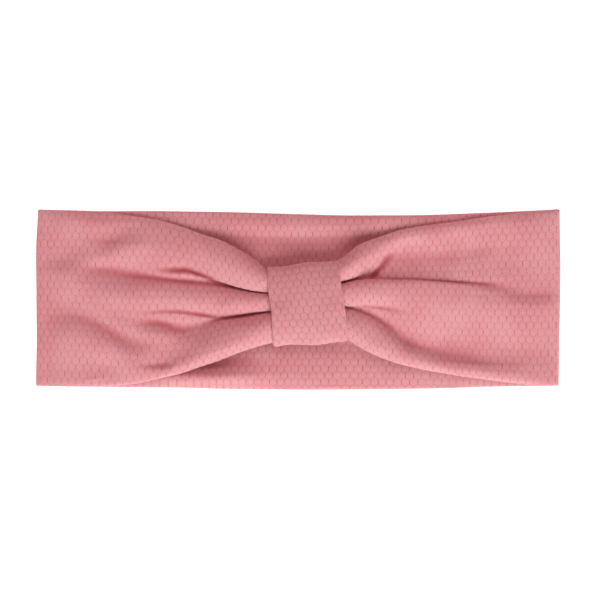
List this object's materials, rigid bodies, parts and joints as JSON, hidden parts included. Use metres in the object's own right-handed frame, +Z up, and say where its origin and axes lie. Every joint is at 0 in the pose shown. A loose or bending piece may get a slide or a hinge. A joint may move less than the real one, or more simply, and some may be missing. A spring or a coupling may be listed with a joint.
{
  "type": "sports headband",
  "caption": "Wide stretch headband: a ring of doubled honeycomb knit with a flat back panel and a front panel gathered by a small cloth loop.",
  "frame": {"origin": "middle of the underside of the headband as it lies folded flat", "axes": "+X along the flat ring, +Y across its width, +Z up out of the surface it lies on, with the gathered front panel and its loop on top"},
  "size_m": [0.24, 0.081, 0.0112],
  "materials": {
    "honeycomb_knit": "matt salmon-pink stretch knit with a raised honeycomb of small six-sided cells",
    "loop_knit": "the same matt honeycomb knit, slightly lighter where it is pulled tight round the gathers",
    "sewing_thread": "matching soft polyester sewing thread"
  },
  "bodies": {
    "back_centre": {"back_panel_centre": "honeycomb_knit", "back_seam_thread_centre": "sewing_thread"},
    "back_left": {"back_panel_left": "honeycomb_knit", "back_seam_thread_left": "sewing_thread", "left_side_seam_thread": "sewing_thread"},
    "back_right": {"back_panel_right": "honeycomb_knit", "back_seam_thread_right": "sewing_thread", "right_side_seam_thread": "sewing_thread"},
    "front_left": {"front_panel_left": "honeycomb_knit", "front_seam_thread_left": "sewing_thread"},
    "front_centre": {"front_panel_centre": "honeycomb_knit", "front_seam_thread_centre": "sewing_thread", "centre_loop": "loop_knit", "loop_tack_stitches": "sewing_thread", "loop_closure_thread": "sewing_thread", "loop_tube_seam_thread": "sewing_thread"},
    "front_right": {"front_panel_right": "honeycomb_knit", "front_seam_thread_right": "sewing_thread"}
  },
  "joints": [
    {"name": "left_back_bend", "type": "hinge", "parent": "back_centre", "child": "back_left", "pos_m": [-0.04, 0, 0.0014], "axis": [0, 1, 0], "range_deg": [0, 60]},
    {"name": "left_side_seam", "type": "hinge", "parent": "back_left", "child": "front_left", "pos_m": [-0.12, 0, 0.0016], "axis": [0, -1, 0], "range_deg": [0, 120]},
    {"name": "left_front_bend", "type": "hinge", "parent": "front_left", "child": "front_centre", "pos_m": [-0.04, 0, 0.0018], "axis": [0, 1, 0], "range_deg": [0, 60]},
    {"name": "right_front_bend", "type": "hinge", "parent": "front_centre", "child": "front_right", "pos_m": [0.04, 0, 0.0018], "axis": [0, 1, 0], "range_deg": [0, 60]},
    {"name": "right_back_bend", "type": "hinge", "parent": "back_centre", "child": "back_right", "pos_m": [0.04, 0, 0.0014], "axis": [0, -1, 0], "range_deg": [0, 60]}
  ],
  "couplings": [
    {"joint": "left_side_seam", "follows": "left_back_bend", "ratio": 2},
    {"joint": "left_front_bend", "follows": "left_back_bend", "ratio": 1},
    {"joint": "right_front_bend", "follows": "left_back_bend", "ratio": 1},
    {"joint": "right_back_bend", "follows": "left_back_bend", "ratio": 1}
  ]
}
